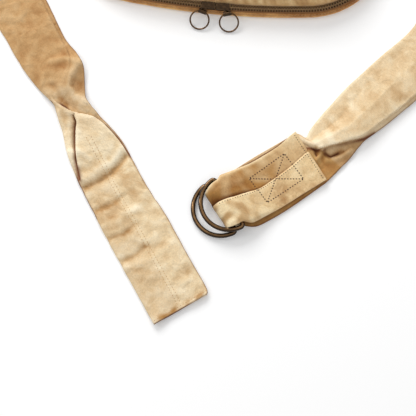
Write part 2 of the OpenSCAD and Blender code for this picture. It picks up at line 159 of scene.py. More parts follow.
def run_round(profile, arcs, step, closed=True):
    """A mesh of a profile of (distance out, height) points run round arcs of the bag's outline."""
    work = bmesh.new()
    (cx, cy), r, start, _ = arcs[0]
    row = [work.verts.new((cx + (r + out) * math.sin(start), cy - (r + out) * math.cos(start), z))
           for out, z in profile]
    after = row[1:] + row[:1] if closed else row[1:]
    geometry = row + [work.edges.new(pair) for pair in zip(row, after)]
    for (cx, cy), r, start, end in arcs:
        steps = max(2, round(r * (end - start) / step))
        made = bmesh.ops.spin(work, geom=geometry, cent=(cx, cy, 0), axis=(0, 0, 1), dvec=(0, 0, 0),
                              angle=end - start, steps=steps, use_merge=False, use_duplicate=False)
        geometry = made["geom_last"]
    bmesh.ops.remove_doubles(work, verts=work.verts, dist=0.02)
    return work


def put_down(name, work, finish, body="bag", normals=True):
    """Turns a mesh made in millimetres into a finished piece that rides on a body."""
    if normals:
        bmesh.ops.recalc_face_normals(work, faces=work.faces)
    bmesh.ops.scale(work, vec=(0.001, 0.001, 0.001), verts=work.verts)
    for face in work.faces:
        face.smooth = True
    piece = bpy.data.objects.new(name, bpy.data.meshes.new(name))
    work.to_mesh(piece.data)
    work.free()
    scene.collection.objects.link(piece)
    piece.data.materials.append(finish)
    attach(piece, body)
    return piece


def thicken(piece, thickness):
    """Gives a sheet its real thickness, half to each side."""
    wall = piece.modifiers.new("thickness", "SOLIDIFY")
    wall.thickness = thickness / 1000
    wall.offset = 0.0
    return piece


def note(piece, name, amount):
    """Notes a value at each point, where 1 is fully so: wear with painted light and shade, deeper dye with
    painted shade, or painted shade in a fold.
    """
    tone = piece.data.attributes.new(name, "FLOAT", "POINT")
    tone.data.foreach_set("value", [float(a) for a in amount])


def waxed_canvas(name, pale, middle, deep, follows="Object", patch=30.0, seed=0.0, wear_and_painted_light=False, dark=None):
    """Mottled, washed canvas: clouds of three tones, ridges rubbed pale, painted shade in hollows and folds,
    woven thread and a dull sheen.
    """
    paint, tree, shader, add = paint_nodes(name)
    place = add("TexCoord").outputs[follows]
    moved = add("Mapping", {"Vector": place, "Location": (seed, seed * 0.7, seed * 1.3)})
    moved = moved.outputs[0]
    cloud = add("TexNoise", {
        "Vector": moved, "Scale": patch, "Detail": 3.0, "Roughness": 0.5, "Distortion": 0.4})
    blotch = add("TexNoise", {
        "Vector": moved, "Scale": patch * 3.4, "Detail": 6.0, "Roughness": 0.68, "Distortion": 0.8})
    share = add("Math", {0: blotch.outputs["Fac"], 1: 0.45}, operation="MULTIPLY")
    both = add("Math", {0: cloud.outputs["Fac"], 1: 0.55, 2: share.outputs[0]}, operation="MULTIPLY_ADD")
    level = both.outputs[0]
    # rubbed ridges paler and hollows darker as painted shade; on the rim the value by height is painted light
    # and shade
    if wear_and_painted_light:
        ridge = add("Attribute", attribute_name="wear_and_painted_light")
        raised = add("MapRange", {"Value": ridge.outputs["Fac"], "To Min": -0.16, "To Max": 0.16})
        level = add("Math", {0: level, 1: raised.outputs[0]}, operation="ADD").outputs[0]
    ramp = add("ValToRGB", {"Fac": level})
    stops = ramp.color_ramp.elements
    stops[0].position, stops[0].color = 0.28, deep
    stops[1].position, stops[1].color = 0.72, pale
    stops.new(0.49).color = middle
    speck = add("TexNoise", {"Vector": place, "Scale": 620.0, "Detail": 3.0, "Roughness": 0.7})
    grain = add("MapRange", {
        "Value": speck.outputs["Fac"], "From Min": 0.3, "From Max": 0.7, "To Min": 0.86, "To Max": 1.09})
    grey = add("CombineXYZ", {axis: grain.outputs[0] for axis in range(3)})
    tone_and_shade_layers = [(1.0, grey.outputs[0])]
    # painted shade: the noted share darkens toward the dark tone for deeper dye and shaded parts, and toward a
    # warm dark brown in folds, gaps and shaded edges
    if dark:
        for attribute, tone in (("dye_and_painted_shade", dark), ("painted_fold_shade", colour(126, 70, 26))):
            tone_and_shade_layers.append((add("Attribute", attribute_name=attribute).outputs["Fac"], tone))
    shaded_canvas_tone = ramp.outputs["Color"]
    for amount, tone in tone_and_shade_layers:
        shaded_canvas_tone = add("Mix", {"Factor": amount, 6: shaded_canvas_tone, 7: tone},
                   data_type="RGBA", blend_type="MULTIPLY").outputs[2]
    tree.links.new(shaded_canvas_tone, shader.inputs["Base Color"])
    warp, weft = (add("TexWave", {"Vector": place, "Scale": 200.0, "Distortion": 0.4, "Detail": 1.0},
                      bands_direction=way) for way in "XY")
    cloth = add("Math", {0: warp.outputs["Fac"], 1: weft.outputs["Fac"]}, operation="MULTIPLY")
    creases = add("TexNoise", {"Vector": place, "Scale": 90.0, "Detail": 4.0, "Roughness": 0.6})
    rumples = add("TexNoise", {
        "Vector": moved, "Scale": 42.0, "Detail": 2.0, "Roughness": 0.45, "Distortion": 1.6})
    thread = add("Bump", {"Strength": 0.4, "Distance": 0.0004, "Height": cloth.outputs[0]})
    soft = add("Bump", {
        "Strength": 0.45, "Distance": 0.0016, "Height": creases.outputs["Fac"], "Normal": thread.outputs[0]})
    hand = add("Bump", {
        "Strength": 0.5, "Distance": 0.0035, "Height": rumples.outputs["Fac"], "Normal": soft.outputs[0]})
    tree.links.new(hand.outputs[0], shader.inputs["Normal"])
    dull = add("MapRange", {"Value": cloud.outputs["Fac"], "To Min": 0.62, "To Max": 0.88})
    tree.links.new(dull.outputs[0], shader.inputs["Roughness"])
    shader.inputs["Specular IOR Level"].default_value = 0.25
    shader.inputs["Sheen Weight"].default_value = 0.08
    shader.inputs["Sheen Roughness"].default_value = 0.5
    return paint


bag_canvas = waxed_canvas("bag_canvas", colour(222, 190, 140), colour(203, 164, 112), colour(172, 128, 80),
                          patch=22, seed=0.4)
back = run_round([(-8.4, 0.95)], all_round, 5, closed=False)
bmesh.ops.holes_fill(back, edges=back.edges, sides=0)
bmesh.ops.inset_region(back, faces=back.faces, thickness=3.0, depth=0.0)
back_panel = thicken(put_down("back_panel_canvas", back, bag_canvas), 1.7)
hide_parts("back_panel")

# ---- Rim ----
# A narrow band of darker canvas between back panel and zip, cut on the straight
# grain and eased round the ends. Its top edge is turned under and topstitched.
chain_in, chain_z, band_tilt = 6.7, 9.2, math.radians(20)


def band(s, n):
    """A point of the sloping zip band: s up it from the chain's middle, n out of it."""
    return (-chain_in - s * math.cos(band_tilt) + n * math.sin(band_tilt),
            chain_z + s * math.sin(band_tilt) + n * math.cos(band_tilt))


def wander(x, y, often, seed):
    """A smooth, uneven rise and fall over the plan, with about as many waves per millimetre as given."""
    return noise.noise(Vector((x * often, y * often, seed)))


def ruffle(work, pull_at, depth):
    """Small uneven puckers where a seam gathers the cloth, as strong as pull_at says, 0 to 1."""
    for v in work.verts:
        pull = pull_at(v.co)
        if pull > 0:
            wave = wander(v.co.x, v.co.y, 0.16, 3.1) + 0.6 * wander(v.co.x, v.co.y, 0.35, 7.7)
            v.co.z += depth * pull * wave
            flat = Vector((v.co.x, v.co.y, 0)).normalized()
            v.co -= flat * depth * 0.35 * pull * wave


rim_canvas = waxed_canvas("rim_canvas", colour(250, 212, 146), colour(216, 160, 98), colour(160, 104, 54),
                          patch=30, seed=1.7, wear_and_painted_light=True)
rim = run_round([
    (-8.2, 0.1), (-2.6, 0.1), (-1.2, 0.5), (-0.35, 1.6), (0, 3.0), (-0.15, 4.6), (-0.75, 6.2), (-1.6, 7.7),
    band(-4.5, 1.0), band(-4.2, 0.75), band(-4.15, 0.0), band(-4.3, -0.8),
    (-3.0, 6.2), (-2.1, 4.6), (-1.9, 3.0), (-2.2, 2.1), (-3.2, 1.8), (-8.2, 1.8)], all_round, 3.2)
ruffle(rim, lambda p: max(0.0, 1 - abs(p.z - 4.5) / 3.5), 1.1)
rim_band = put_down("rim_canvas_band", rim, rim_canvas)
# painted light and shade: the band is paler near its foot, as if lit from the table, and darker toward the zip
note(rim_band, "wear_and_painted_light", [max(0.05, 1.15 - abs(v.co.z * 1000 - 2.6) / 2.6) for v in rim_band.data.vertices])
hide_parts("rim_gusset")


def stitches(name, places, finish, long=2.4, wide=0.7, high=0.45):
    """Sewing thread: one small rounded stitch at each (point, direction, up)."""
    work = bmesh.new()
    for point, run, up in places:
        run = Vector(run).normalized()
        side = Vector(up).cross(run).normalized()
        up = run.cross(side).normalized()
        turned = Matrix((run * long / 2, side * wide / 2, up * high / 2)).transposed().to_4x4()
        bmesh.ops.create_icosphere(work, subdivisions=1, radius=1, matrix=Matrix.Translation(point) @ turned)
    return put_down(name, work, finish, normals=False)


def sewing_thread(name, tone, dark):
    """Twisted cotton thread with a slight sheen."""
    paint, tree, shader, add = paint_nodes(name)
    place = add("TexCoord").outputs["Object"]
    twist = add("TexWave", {"Vector": place, "Scale": 900.0, "Distortion": 2.0}, bands_direction="DIAGONAL")
    mixed = add("Mix", {"Factor": twist.outputs["Fac"], 6: tone, 7: dark}, data_type="RGBA")
    tree.links.new(mixed.outputs[2], shader.inputs["Base Color"])
    bump = add("Bump", {"Strength": 0.4, "Distance": 0.0002, "Height": twist.outputs["Fac"]})
    tree.links.new(bump.outputs[0], shader.inputs["Normal"])
    shader.inputs["Roughness"].default_value = 0.6
    return paint


def along_outline(out, step):
    """Evenly spaced places round the outline: (point on the plan, direction along, direction outward)."""
    for (cx, cy), r, start, end in all_round:
        count = round((r + out) * (end - start) / step)
        for k in range(count):
            a = start + (end - start) * (k + 0.5) / count
            along, outward = (math.cos(a), math.sin(a), 0), (math.sin(a), -math.cos(a), 0)
            yield (cx + (r + out) * outward[0], cy + (r + out) * outward[1]), along, outward


tan_thread = sewing_thread("tan_thread", colour(214, 180, 128), colour(150, 108, 62))
rim_row_z = 7.25
rim_row = [((x, y, rim_row_z), run, (out[0] * 0.85, out[1] * 0.85, 0.5))
           for (x, y), run, out in along_outline(band(-5.6, 1.0)[0], 3.4)]
stitches("rim_topstitching", rim_row, tan_thread)

# ---- Far gusset ----
# Where the zip ends, the band is closed with a strip of the rim's canvas,
# lapped over both edges and sewn down.
zip_wrap = math.radians(50)
right_zip = ((end_x, end_y), corner_r, zip_half, zip_half + zip_wrap)
left_zip = ((-end_x, end_y), corner_r, 2 * turn - zip_half - zip_wrap, 2 * turn - zip_half)
no_zip = (((end_x, end_y), corner_r, zip_half + zip_wrap, turn - far_half), far_edge,
          ((-end_x, end_y), corner_r, turn + far_half, 2 * turn - zip_half - zip_wrap))
gusset = run_round([
    band(-4.0, 0.8), band(-2, 1.25), band(0, 1.35), band(2, 1.25), band(4.0, 0.8),
    band(4.0, -0.7), band(0, -0.5), band(-4.0, -0.7)], no_zip, 3.2)
bmesh.ops.holes_fill(gusset, edges=gusset.edges, sides=0)
ruffle(gusset, lambda p: 0.5, 0.8)
far_gusset = put_down("far_gusset_canvas", gusset, rim_canvas)
note(far_gusset, "wear_and_painted_light", [0.4] * len(far_gusset.data.vertices))
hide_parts("far_gusset")

# ---- Front panel ----
# The soft domed front: one piece of washed canvas, eased into the zip so that
# it puckers along the seam, with a turned and topstitched edge.
seam_out, seam_z = band(4.2, 0.9)
seam_out, seam_z = seam_out + 0.35, seam_z - 0.9
dome_top = bag_depth - 1.2
front = run_round([(seam_out, seam_z)], all_round, 2.1, closed=False)
rim_line = [v.co.copy() for v in front.verts]
loop = list(front.edges)
# the rings' sizes as shares of the seam, closest together by the seam, where the cloth puckers
shares = [0.997, 0.993, 0.986, 0.977, 0.967, 0.956, 0.944, 0.931, 0.917, 0.902, 0.886, 0.869,
          0.851, 0.832, 0.811, 0.789, 0.765, 0.74, 0.713, 0.684, 0.653, 0.62, 0.585, 0.548,
          0.509, 0.468, 0.425, 0.38, 0.333, 0.284, 0.233, 0.18, 0.125, 0.07, 0.03]
before = 1.0
for share in shares:
    made = bmesh.ops.extrude_edge_only(front, edges=loop)["geom"]
    fresh = [g for g in made if isinstance(g, bmesh.types.BMVert)]
    rise = seam_z + (dome_top - seam_z) * math.sqrt(1 - share**3)
    for v in fresh:
        v.co.x *= share / before
        v.co.y *= share / before
        v.co.z = rise
    fresh_set = set(fresh)
    loop = [g for g in made if isinstance(g, bmesh.types.BMEdge) and fresh_set.issuperset(g.verts)]
    before = share
bmesh.ops.holes_fill(front, edges=loop, sides=0)
bmesh.ops.poke(front, faces=[f for f in front.faces if len(f.verts) > 4])
outline_turn = sorted((math.atan2(p.y, p.x), math.hypot(p.x, p.y)) for p in rim_line)
turns = np.array([a for a, _ in outline_turn])
reach = np.array([d for _, d in outline_turn])
pucker_wear_and_light = front.verts.layers.float.new("wear_and_painted_light")
for v in front.verts:
    far = math.hypot(v.co.x, v.co.y)
    edge = float(np.interp(math.atan2(v.co.y, v.co.x), turns, reach, period=2 * math.pi))
    inside = max(0.0, edge - far)
    on_edge = v.co.xy.normalized() * edge if far > 1e-6 else Vector((0, 0))
    # puckers at the seam, folds that fall away from them and slack in the middle
    ease = math.exp(-inside / 11) * min(1.0, inside / 1.5)
    gather = wander(*on_edge[:2], 0.20, 1.3) * 2.4 + wander(*on_edge[:2], 0.45, 4.2) * 1.0
    fall = wander(*on_edge[:2], 0.035, 9.0) * math.exp(-((inside - 26) / 18) ** 2) * 3.6
    slack = (noise.noise(Vector((v.co.x * 0.012 + 4, v.co.y * 0.020, 2.2))) * 5.0
             + noise.noise(Vector((v.co.x * 0.035, v.co.y * 0.045, 6.4))) * 1.6)
    slack *= min(1.0, inside / 34)
    v.co.z += ease * gather + fall + slack - 1.6 * min(1.0, inside / 60)
    # pucker tops paler and hollows darker: partly rubbed wear, partly painted light and shade
    v[pucker_wear_and_light] = min(1.0, max(0.0, 0.5 + ease * gather * 0.45 + fall * 0.16 + 0.10 * slack))
front_canvas = waxed_canvas("front_canvas", colour(238, 208, 156), colour(208, 168, 114), colour(170, 124, 74),
                            patch=22, seed=0.4, wear_and_painted_light=True)
front_panel = thicken(put_down("front_panel_canvas", front, front_canvas), 1.5)
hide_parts("front_panel")


def laid_on(pieces, places, lift):
    """Where stitches lie on top of cloth, from each (place on the plan, direction along)."""
    trees = [BVHTree.FromPolygons([v.co * 1000 for v in p.data.vertices], [f.vertices for f in p.data.polygons])
             for p in pieces]
    for (x, y), run in places:
        hits = [tree.ray_cast(Vector((x, y, 200)), Vector((0, 0, -1))) for tree in trees]
        hits = [(spot, facing if facing.z > 0 else -facing) for spot, facing, _, _ in hits if spot is not None]
        if hits:
            spot, facing = max(hits, key=lambda hit: hit[0].z)
            yield spot + facing * lift, run, facing


front_row = [(place, run) for place, run, _ in along_outline(band(7.0, 1.0)[0] - 0.2, 3.2)]
stitches("front_topstitching", laid_on([front_panel], front_row, 0.85), tan_thread)

# ---- Zip tapes and bindings ----
# Two woven tapes with a thicker cord edge that the teeth grip, dyed dark brown,
# and the narrow tapes that bind the raw seams inside.


def woven_tape(name, pale, deep):
    """Close twill tape: fine slanting ribs over a slightly uneven dye."""
    paint, tree, shader, add = paint_nodes(name)
    place = add("TexCoord").outputs["Object"]
    rib = add("TexWave", {"Vector": place, "Scale": 420.0, "Distortion": 0.5}, bands_direction="DIAGONAL")
    cloud = add("TexNoise", {"Vector": place, "Scale": 60.0, "Detail": 3.0})
    both = add("Math", {0: rib.outputs["Fac"], 1: cloud.outputs["Fac"]}, operation="MULTIPLY")
    mixed = add("Mix", {"Factor": both.outputs[0], 6: deep, 7: pale}, data_type="RGBA")
    tree.links.new(mixed.outputs[2], shader.inputs["Base Color"])
    bump = add("Bump", {"Strength": 0.5, "Distance": 0.0003, "Height": rib.outputs["Fac"]})
    tree.links.new(bump.outputs[0], shader.inputs["Normal"])
    shader.inputs["Roughness"].default_value = 0.85
    shader.inputs["Specular IOR Level"].default_value = 0.2
    return paint


zip_cloth = woven_tape("zip_tape_cloth", colour(206, 152, 102), colour(140, 98, 62))
binding_cloth = woven_tape("binding_cloth", colour(150, 112, 72), colour(98, 68, 40))
with_zip = (left_zip, zip_edge, right_zip)
for side, named in ((-1, "rim"), (1, "front")):
    tape = run_round([
        band(side * up, out) for up, out in (
            (2.7, -0.4), (2.7, 0.4), (3.0, 0.48), (3.3, 0.36),
            (4.0, 0.3), (4.0, -0.3), (3.3, -0.36), (3.0, -0.48))], with_zip, 3.0)
    bmesh.ops.holes_fill(tape, edges=tape.edges, sides=0)
    woven = put_down("zip_tape_" + named + "_woven", tape, zip_cloth)
    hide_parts("zip_tape_" + named)


def finish_nodes(finish, *nodes):
    """Gives parts that are used as they come from the solids their finish."""
    for node in nodes:
        for place_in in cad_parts[node].material_slots:
            place_in.material = finish


finish_nodes(binding_cloth, "back_binding", "front_binding")

# ---- Zip teeth and stops ----
# Cast metal teeth clamped on the tapes' cord edges, with an antique plating
# and a painted highlight on their tops, and a stop at each end.


def antique_metal(name, deep, wear_and_painted_light, rough=0.42, scale=180.0, top=0.55, grainy=0.2, highlight_from=0.45):
    """Dark antique plating with a painted highlight in a warmer brown where it faces up, broken up in patches.
    """
    paint, tree, shader, add = paint_nodes(name)
    coordinates = add("TexCoord")
    place = coordinates.outputs["Object"]
    cloud = add("TexNoise", {"Vector": place, "Scale": scale, "Detail": 6.0, "Roughness": 0.65})
    # painted highlight where the surface faces up
    facing = add("SeparateXYZ", {"Vector": coordinates.outputs["Normal"]})
    lifted = add("MapRange", {"Value": facing.outputs["Z"], "From Min": highlight_from, "To Max": top})
    patchy = add("MapRange", {
        "Value": cloud.outputs["Fac"], "From Min": 0.35, "From Max": 0.65, "To Min": 0.35})
    top_highlight = add("Math", {0: lifted.outputs[0], 1: patchy.outputs[0]}, operation="MULTIPLY")
    mixed = add("Mix", {"Factor": top_highlight.outputs[0], 6: deep, 7: wear_and_painted_light}, data_type="RGBA")
    tree.links.new(mixed.outputs[2], shader.inputs["Base Color"])
    shader.inputs["Metallic"].default_value = 0.9
    shader.inputs["Coat Weight"].default_value = 0.15
    shader.inputs["Coat Roughness"].default_value = 0.12
    gloss = add("MapRange", {"Value": cloud.outputs["Fac"], "To Min": rough - 0.1, "To Max": rough + 0.14})
    tree.links.new(gloss.outputs[0], shader.inputs["Roughness"])
    fine = add("TexNoise", {"Vector": place, "Scale": scale * 6, "Detail": 3.0})
    bump = add("Bump", {"Strength": grainy, "Distance": 0.0002, "Height": fine.outputs["Fac"]})
    tree.links.new(bump.outputs[0], shader.inputs["Normal"])
    return paint


tooth_metal = antique_metal("tooth_metal", colour(120, 90, 62), colour(214, 174, 124), rough=0.4, scale=400.0)
finish_nodes(tooth_metal, "zip_teeth_rim", "zip_teeth_front", "zip_stops")

# ---- Sliders and pulls ----
# Two cast sliders head to head, each with a crown, an open link with a barrel
# and a wire ring through the barrel, all in antique bronze.
# painted highlight on the tops of the sliders and links, and of the pull rings
bronze = antique_metal("antique_bronze", colour(30, 21, 14), colour(176, 134, 92),
                       rough=0.2, scale=420.0, top=0.3, grainy=0.25, highlight_from=0.3)
castings = ("slider_left", "slider_right", "pull_link_left", "pull_link_right")
finish_nodes(bronze, *castings)
ring_bronze = antique_metal("ring_bronze", colour(60, 42, 27), colour(160, 116, 72),
                            rough=0.2, scale=90.0, top=0.8, grainy=0.03, highlight_from=0.65)
for node in ("pull_ring_left", "pull_ring_right"):
    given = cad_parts[node]
    spots = np.array([tuple(given.matrix_world @ v.co) for v in given.data.vertices]) * 1000
    centre = (spots.max(axis=0) + spots.min(axis=0)) / 2
    axis = np.linalg.svd(spots - spots.mean(axis=0), full_matrices=False)[2][2]
    off = spots - centre
    flat_off = np.linalg.norm(off - np.outer(off @ axis, axis), axis=1)
    middle_r, wire = (flat_off.max() + flat_off.min()) / 2, (flat_off.max() - flat_off.min()) / 2
    axis = Vector(axis)
    outward = axis.orthogonal().normalized()
    stand = Matrix((outward, axis, outward.cross(axis))).transposed()
    ring = bmesh.new()
    start = Matrix.Translation(Vector(centre) + outward * middle_r) @ stand.to_4x4()
    hoop = bmesh.ops.create_circle(ring, segments=14, radius=wire, matrix=start, cap_ends=False)["verts"]
    bmesh.ops.spin(ring, geom=hoop + list(ring.edges), cent=Vector(centre), axis=axis,
                   angle=2 * math.pi, steps=72, use_merge=True)
    wire_ring = put_down(node + "_wire", ring, ring_bronze, body=node)
    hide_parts(node)
for node in castings:
    cast_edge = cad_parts[node].modifiers.new("cast_edge", "BEVEL")
    cast_edge.width, cast_edge.segments, cast_edge.angle_limit = 0.00022, 2, math.radians(35)

# ---- Tail strap ----
# A wide strap: canvas folded in from both sides to meet down the middle and
# sewn through with two rows. It leaves the bag's left end, is gathered and
# pleated where it turns, and ends in a plain hemmed tail.
STRAP = 62.0
ACROSS = 96  # points across a strap
ROW_STEP = 1.9  # millimetres between its rows of points


def smooth_rows(rows, steps):
    """Rows of numbers joined by a smooth curve through all of them."""
    rows = np.array(rows, float)
    out = []
    for i in range(len(rows) - 1):
        a, b, c, d = rows[max(i - 1, 0)], rows[i], rows[i + 1], rows[min(i + 2, len(rows) - 1)]
        for k in range(steps):
            t = k / steps
            bend = (2 * a - 5 * b + 4 * c - d) * t * t + (3 * b - a - 3 * c + d) * t**3
            out.append(0.5 * (2 * b + (c - a) * t + bend))
    return np.array(out + [rows[-1]])


def evenly(rows, count, places):
    """The rows, spaced evenly along the line of their places, and the line's length."""
    step = np.linalg.norm(np.diff(places, axis=0), axis=1)
    reach_to = np.concatenate([[0], np.cumsum(step)])
    want = np.linspace(0, reach_to[-1], count)
    spread = [np.interp(want, reach_to, column) for column in rows.T]
    return np.stack(spread, axis=1), reach_to[-1]


def rounded(corners):
    """A line across a strap through its corners, as points with the corners softened."""
    line, _ = evenly(corners, ACROSS, corners)
    for _ in range(2):
        line[1:-1] = (line[:-2] + 2 * line[1:-1] + line[2:]) / 4
    return line


def folded_section(width, left, tuck_l, right, tuck_r, high_l, top, high_r, end_r, trench):
    """Across a pleated strap: a left strip, the middle and a right strip, with a tuck on each side.

    A tuck_l above 0 lays the middle over the left strip, below 0 the strip over the middle.
    The trench is the open gap beside the middle, and the right strip falls from high_r to end_r.
    """
    mid_r, span = (high_r + top) / 2, right - left
    ramp = max(0.0, 1 - abs(tuck_l) - trench) * min(0.45 * left, 0.28 * span, 10.0)
    if ramp > 0.3:
        edge = [(left - ramp, high_l), (left, (high_l + top) / 2), (left + ramp, top)]
    elif tuck_l >= 0:
        foot = high_l * max(0.0, 1 - trench / 2.4) + 1.0 * min(1.0, trench / 2.4)
        half_up, brink = (foot + top) / 2, left + 0.35 * trench
        edge = [(max(left - 1.4 * trench, left * 0.5), high_l), (left - trench * 0.5, (high_l + foot) / 2),
                (left - trench * 0.15, foot), (left + tuck_l, foot), (left + tuck_l, half_up),
                (brink, half_up), (brink, top)]
    else:
        mid = (high_l + top) / 2
        edge = [(max(left - 2.0, left * 0.5), high_l), (left, high_l), (left, mid),
                (left + tuck_l, mid), (left + tuck_l, top)]
    crown = top + min(0.5, span * 0.02)
    turnpoints = np.array([
        (0, 1.1), (min(1.2, left * 0.3), high_l * 0.8), *edge,
        (left + span * 0.3, crown), (left + span * 0.7, crown), (right, top),
        (right, mid_r), (right - tuck_r, mid_r), (right - tuck_r, high_r), (right, high_r),
        (right + (width - right) * 0.5, (high_r + end_r) / 2), (width, end_r)])
    return rounded(turnpoints)


def near_line(p, line):
    """Distance from points to a line of few points, and which side they are on."""
    best = np.full(len(p), 1e9)
    side = np.zeros(len(p))
    line = np.array(line, float)
    for a, b in zip(line[:-1], line[1:]):
        run = b - a
        t = np.clip(((p - a) @ run) / (run @ run), 0, 1)
        off = p - (a + t[:, None] * run)
        gap = np.linalg.norm(off, axis=1)
        turned = np.sign(run[0] * (p[:, 1] - a[1]) - run[1] * (p[:, 0] - a[0]))
        nearer = gap < best
        best = np.where(nearer, gap, best)
        side = np.where(nearer, turned, side)
    return best, side


def wrinkle(points, lines):
    """Raises or lowers cloth along lines: (line, height, reach on the line's left, reach on its right, power).

    Power 2 makes a round wrinkle and power 1 a sharp crease.
    """
    for line, height, left_reach, right_reach, *power in lines:
        gap, side = near_line(points[:, :2], line)
        away = np.where(side > 0, gap / left_reach, gap / right_reach)
        points[:, 2] += height * np.exp(-(away ** (power[0] if power else 2)))
    return points


def crumple(points, amount, seed):
    """Small soft creases all over, as strong as the amount given for each point."""
    for i, p in enumerate(points):
        broad = wander(p[0], p[1], 0.040, seed)
        crease = 1 - 2.6 * abs(wander(p[0], p[1], 0.055, seed + 3))
        fine = wander(p[0], p[1], 0.14, seed + 6)
        points[i, 2] = max(1.0, p[2] + amount[i] * (0.7 * broad + 0.35 * crease + 0.35 * fine))
    return points


def lay_cloth(name, points, finish, thickness, long):
    """Puts a grid's vertices on the rows of points, with a flat pattern, its rubbed ridges and its hollows of
    painted shade noted.
    """
    rows = len(points) // ACROSS
    work = bmesh.new()
    bmesh.ops.create_grid(work, x_segments=ACROSS - 1, y_segments=rows - 1, size=1)
    layer = work.loops.layers.uv.new("flat_pattern")
    wear_and_painted_light = work.verts.layers.float.new("wear_and_painted_light")
    high = points[:, 2].reshape(rows, ACROSS)
    even = high.copy()
    for _ in range(14):
        even[1:-1] = (even[:-2] + 2 * even[1:-1] + even[2:]) / 4
        even[:, 1:-1] = (even[:, :-2] + 2 * even[:, 1:-1] + even[:, 2:]) / 4
    # above the smoothed surface paler as rubbed wear, below it darker as painted shade
    lift = np.clip(0.5 + (high - even) * 0.55, 0, 1)
    column = np.arange(ACROSS)
    edge_wear = np.exp(-np.minimum(column, ACROSS - 1 - column) / 1.6) * 0.15
    where = {}
    for v in work.verts:
        i = round((v.co.y + 1) / 2 * (rows - 1))
        k = round((v.co.x + 1) / 2 * (ACROSS - 1))
        where[v] = (i, k)
        v.co = Vector(points[i * ACROSS + k])
        v[wear_and_painted_light] = min(1.0, lift[i, k] + edge_wear[k])
    for face in work.faces:
        for corner in face.loops:
            i, k = where[corner.vert]
            corner[layer].uv = (k / (ACROSS - 1) * STRAP / 1000, i / (rows - 1) * long / 1000)
    return thicken(put_down(name, work, finish, normals=False), thickness)


# outer edge x, y; inner edge x, y; then along the line from outer to inner edge:
# the left tuck's place and depth, the right tuck's place and depth, the heights of
# the left strip, the middle, the right strip and its edge, and the open gap
tail_rows = [
    (-168, 19, -168, -43, 20, 0, 42, 0, 4.2, 4.2, 4.2, 4.2, 0),
    (-183, 18, -183, -42, 20, 1, 42, 1, 4.0, 4.4, 4.0, 3.6, 0),
    (-223, -5, -190, -40, 18, 3, 28, 4, 2.6, 4.6, 1.8, 1.2, 1),
    (-240, -46, -197, -55, 14, 4, 35, 5, 3.0, 5.2, 1.6, 1.2, 1),
    (-239, -89, -194, -78, 12, 1.0, 40, 3, 3.6, 5.2, 1.6, 1.2, 0.3),
    (-224, -128, -175, -102, 12, 0, 50, 2, 2.8, 5.4, 1.7, 1.1, 0),
    (-208, -152, -161, -125, 12, 0, 49, 2, 2.6, 5.8, 1.7, 1.1, 0),
    (-191, -176, -148.5, -145, 11, 0, 47.5, 1.5, 2.6, 5.6, 1.8, 1.1, 0),
    (-176, -193, -136.5, -158, 8, 0, 44, 0.5, 2.8, 5.0, 3.6, 1.2, 0),
    (-166, -202.5, -128, -171.5, 5, 0, 30, 0, 3.4, 4.8, 4.4, 1.2, 0),
    (-158.5, -208.5, -124.6, -190, 3, -0.2, 8, 0, 4.2, 4.4, 4.4, 1.2, 0),
    (-152.5, -214, -121.7, -205, 2.0, -2.2, 2.4, 0, 5.8, 3.2, 3.4, 1.2, 0),
    (-149.5, -221.0, -115, -213.5, 10.0, -3.2, 10.2, 0, 6.4, 3.2, 3.4, 1.6, 0),
    (-147.6, -225.4, -111, -217, 15.4, -1.0, 16.4, 1.0, 6.0, 5.0, 3.4, 1.8, 0.6),
    (-145.4, -231, -105.6, -222, 15.6, 2.5, 30.6, 3.4, 4.9, 7.0, 3.0, 1.8, 3.6),
    (-143, -236, -101, -226, 14.8, 5.5, 37.0, 4.4, 4.6, 7.6, 2.6, 1.6, 4.6),
    (-139.7, -244, -93, -233, 11.4, 5.5, 43.2, 3.4, 4.4, 7.6, 2.2, 1.4, 4.8),
    (-133.6, -263, -80, -246, 7.8, 3.4, 52.4, 2.2, 4.0, 6.6, 1.6, 1.2, 4.2),
    (-125, -281, -69, -262, 4.2, 1.6, 56.5, 1.4, 2.6, 4.2, 1.2, 1.1, 1.9),
    (-115.4, -299, -56, -282, 2.4, 0.6, 59.5, 0.6, 1.8, 2.6, 1.15, 1.1, 0.5),
    (-105, -315, -45.5, -297, 2.0, 0.1, 60.2, 0.1, 1.9, 2.6, 1.9, 1.05, 0),
    (-79.7, -354.8, -26.5, -321, 2, 0, 60, 0, 1.8, 2.4, 1.8, 1.05, 0),
    (-54, -392, -2.8, -357, 2, 0, 60, 0, 1.8, 2.4, 1.8, 1.05, 0),
    (-32, -424.4, 18.6, -387.6, 2, 0, 60, 0, 2.0, 2.2, 2.2, 2.0, 0),
    (-28.4, -429.3, 19.2, -394.9, 2, 0, 58.5, 0, 2.2, 2.4, 2.9, 2.9, 0)]


def sweep_strap(rows):
    """The middle surface of a pleated strap: points row by row, its length and its rows."""
    dense = smooth_rows(rows, 14)
    middle = (dense[:, :2] + dense[:, 2:4]) / 2
    length = np.linalg.norm(np.diff(middle, axis=0), axis=1).sum()
    dense, _ = evenly(dense, int(length / ROW_STEP), middle)
    points = []
    for row in dense:
        outer, inner = row[:2], row[2:4]
        visible = np.linalg.norm(inner - outer)
        left = float(np.clip(row[4], 0.2, visible - 0.4))
        right = float(np.clip(row[6], left + 0.1, visible - 0.2))
        section = folded_section(visible, left, row[5], right, max(row[7], 0), *row[8:12], max(row[12], 0))
        for x, z in section:
            on_plan = outer + (inner - outer) * (x / visible)
            points.append((on_plan[0], on_plan[1], z))
    return np.array(points), length, dense


